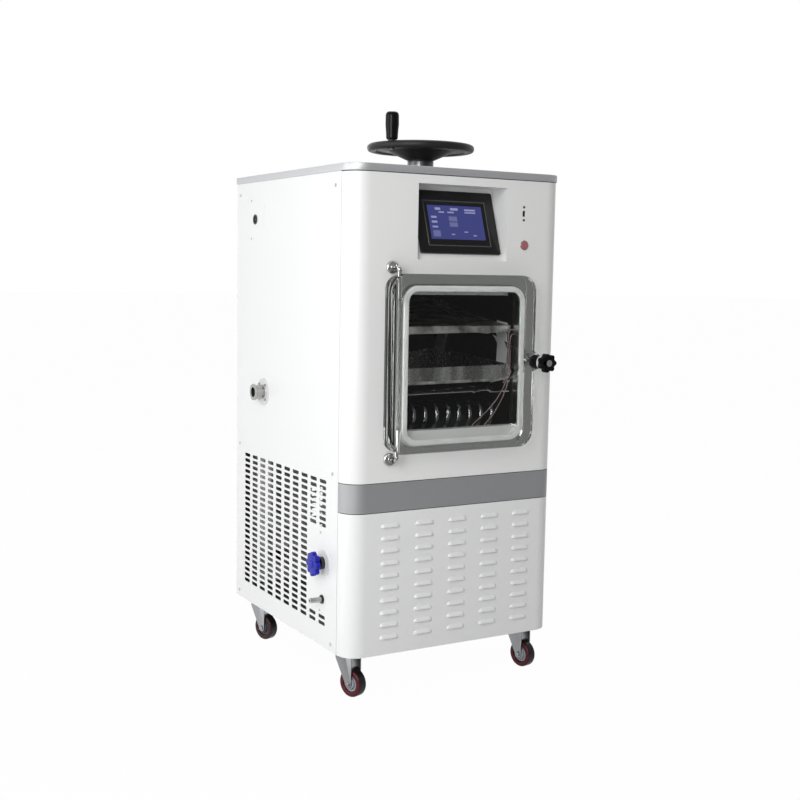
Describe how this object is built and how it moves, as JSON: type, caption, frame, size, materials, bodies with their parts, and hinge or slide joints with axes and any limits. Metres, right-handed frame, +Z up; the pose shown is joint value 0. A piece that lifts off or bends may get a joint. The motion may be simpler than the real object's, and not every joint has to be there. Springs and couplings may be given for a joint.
{
  "type": "freeze dryer",
  "caption": "Upright pilot freeze dryer on casters: clear hinged door, shelves over a coiled ice condenser, touch panel, and a handwheel press on top.",
  "frame": {"origin": "middle of the footprint's bounding box, on the floor", "axes": "+X to the right seen from the front, +Y from the door towards the rear, +Z up"},
  "size_m": [0.5846, 0.7118, 1.3],
  "materials": {
    "white_coat": "white powder coat, fine texture",
    "band_grey": "grey powder coat",
    "lid_grey": "grey powder coat",
    "frame_steel": "plain grey paint",
    "steel": "brushed stainless",
    "bright_steel": "polished stainless",
    "zinc": "bright zinc plate",
    "aluminium": "satin anodised",
    "black_gloss": "glossy black moulding",
    "black_matte": "matt black moulding",
    "blue_plastic": "glossy blue moulding",
    "red_plastic": "red button",
    "white_plastic": "white nylon",
    "screen": "lit blue touch screen",
    "clear_door": "clear polished acrylic",
    "silicone": "white silicone seal",
    "pipe_foam": "white foam tube",
    "lead": "thin coated sensor lead",
    "tread": "dark red polyurethane tread",
    "brass": "turned brass",
    "black_paint": "black enamel"
  },
  "bodies": {
    "cabinet": {"base_frame": "frame_steel", "corner_posts": "frame_steel", "mid_deck": "frame_steel", "left_panel": "white_coat", "right_panel": "white_coat", "rear_panel": "white_coat", "front_fascia": "white_coat", "waist_band": "band_grey", "lower_front_panel": "white_coat", "top_lid": "lid_grey", "panel_screws": "zinc", "display_frame": "black_gloss", "display_screen": "screen", "usb_socket": "black_matte", "button_ring": "bright_steel", "chamber": "steel", "upper_shelf": "aluminium", "lower_shelf": "aluminium", "product_tray": "steel", "coil_baffle": "steel", "shelf_straps": "steel", "condenser_coil": "steel", "probe_leads": "lead", "hinge_pin_top": "bright_steel", "hinge_pin_bottom": "bright_steel", "latch_insert": "bright_steel", "drive_collar": "bright_steel", "drive_column": "steel", "vacuum_port": "steel", "side_port": "black_matte", "valve_body": "black_matte", "drain_spout": "bright_steel", "power_inlet": "black_matte", "compressor": "black_paint", "insulated_pipes": "pipe_foam", "condenser_fins": "aluminium", "caster_plates": "zinc"},
    "door": {"door_slab": "clear_door", "door_gasket": "silicone", "latch_barrel": "black_gloss"},
    "latch_slider": {"latch_washer": "white_plastic"},
    "latch": {"latch_knob": "black_gloss", "latch_screw": "bright_steel"},
    "handwheel": {"handwheel": "black_gloss", "drive_nut": "brass", "grip_bolt": "zinc"},
    "ram": {"press_ram": "bright_steel", "press_plate": "steel"},
    "grip": {"crank_grip": "black_gloss"},
    "drain_valve": {"valve_wheel": "blue_plastic"},
    "button": {"start_button": "red_plastic"},
    "fan": {"fan_rotor": "aluminium"},
    "swivel_front_left": {"fork_front_left": "zinc"},
    "roller_front_left": {"wheel_front_left": "tread"},
    "swivel_front_right": {"fork_front_right": "zinc"},
    "roller_front_right": {"wheel_front_right": "tread"},
    "swivel_rear_left": {"fork_rear_left": "zinc"},
    "roller_rear_left": {"wheel_rear_left": "tread"},
    "swivel_rear_right": {"fork_rear_right": "zinc"},
    "roller_rear_right": {"wheel_rear_right": "tread"}
  },
  "joints": [
    {"name": "door_swing", "type": "hinge", "parent": "cabinet", "child": "door", "pos_m": [-0.15825, -0.2901, 0.742], "axis": [0, 0, -1], "range_deg": [0, 110]},
    {"name": "latch_travel", "type": "slide", "parent": "door", "child": "latch_slider", "axis": [0, -1, 0], "range_m": [0, 0.008]},
    {"name": "latch_turn", "type": "hinge", "parent": "latch_slider", "child": "latch", "pos_m": [0.19375, -0.3421, 0.747], "axis": [0, -1, 0], "range_deg": [0, 1440]},
    {"name": "handwheel_turn", "type": "hinge", "parent": "cabinet", "child": "handwheel", "pos_m": [0.01475, -0.0771, 1.21], "axis": [0, 0, -1], "range_deg": [0, 1620]},
    {"name": "press_travel", "type": "slide", "parent": "cabinet", "child": "ram", "axis": [0, 0, -1], "range_m": [0, 0.045]},
    {"name": "grip_spin", "type": "hinge", "parent": "handwheel", "child": "grip", "pos_m": [-0.08816, -0.12378, 1.26], "axis": [0, 0, 1], "continuous": true},
    {"name": "drain_valve_turn", "type": "hinge", "parent": "cabinet", "child": "drain_valve", "pos_m": [-0.26025, -0.1511, 0.297], "axis": [-1, 0, 0], "range_deg": [0, 720]},
    {"name": "button_press", "type": "slide", "parent": "cabinet", "child": "button", "axis": [0, 1, 0], "range_m": [0, 0.0018], "stiffness_N_per_m": 400, "springref_m": -0.001},
    {"name": "fan_spin", "type": "hinge", "parent": "cabinet", "child": "fan", "pos_m": [-0.01025, -0.1406, 0.274], "axis": [0, 1, 0], "continuous": true},
    {"name": "swivel_turn_front_left", "type": "hinge", "parent": "cabinet", "child": "swivel_front_left", "pos_m": [-0.21825, -0.1871, 0.092], "axis": [0, 0, 1], "continuous": true},
    {"name": "roller_spin_front_left", "type": "hinge", "parent": "swivel_front_left", "child": "roller_front_left", "pos_m": [-0.21207, -0.20612, 0.0315], "axis": [0.9511, 0.309, 0], "continuous": true},
    {"name": "swivel_turn_front_right", "type": "hinge", "parent": "cabinet", "child": "swivel_front_right", "pos_m": [0.24775, -0.1871, 0.092], "axis": [0, 0, 1], "continuous": true},
    {"name": "roller_spin_front_right", "type": "hinge", "parent": "swivel_front_right", "child": "roller_front_right", "pos_m": [0.25191, -0.20666, 0.0315], "axis": [0.9781, 0.2079, 0], "continuous": true},
    {"name": "swivel_turn_rear_left", "type": "hinge", "parent": "cabinet", "child": "swivel_rear_left", "pos_m": [-0.21825, 0.2899, 0.092], "axis": [0, 0, 1], "continuous": true},
    {"name": "roller_spin_rear_left", "type": "hinge", "parent": "swivel_rear_left", "child": "roller_rear_left", "pos_m": [-0.21207, 0.27088, 0.0315], "axis": [0.9511, 0.309, 0], "continuous": true},
    {"name": "swivel_turn_rear_right", "type": "hinge", "parent": "cabinet", "child": "swivel_rear_right", "pos_m": [0.24775, 0.2899, 0.092], "axis": [0, 0, 1], "continuous": true},
    {"name": "roller_spin_rear_right", "type": "hinge", "parent": "swivel_rear_right", "child": "roller_rear_right", "pos_m": [0.25259, 0.27049, 0.0315], "axis": [0.9703, 0.2419, 0], "continuous": true}
  ],
  "couplings": [
    {"joint": "press_travel", "follows": "handwheel_turn", "m_per_rad": 0.0015915},
    {"joint": "latch_travel", "follows": "latch_turn", "m_per_rad": 0.00031831}
  ]
}
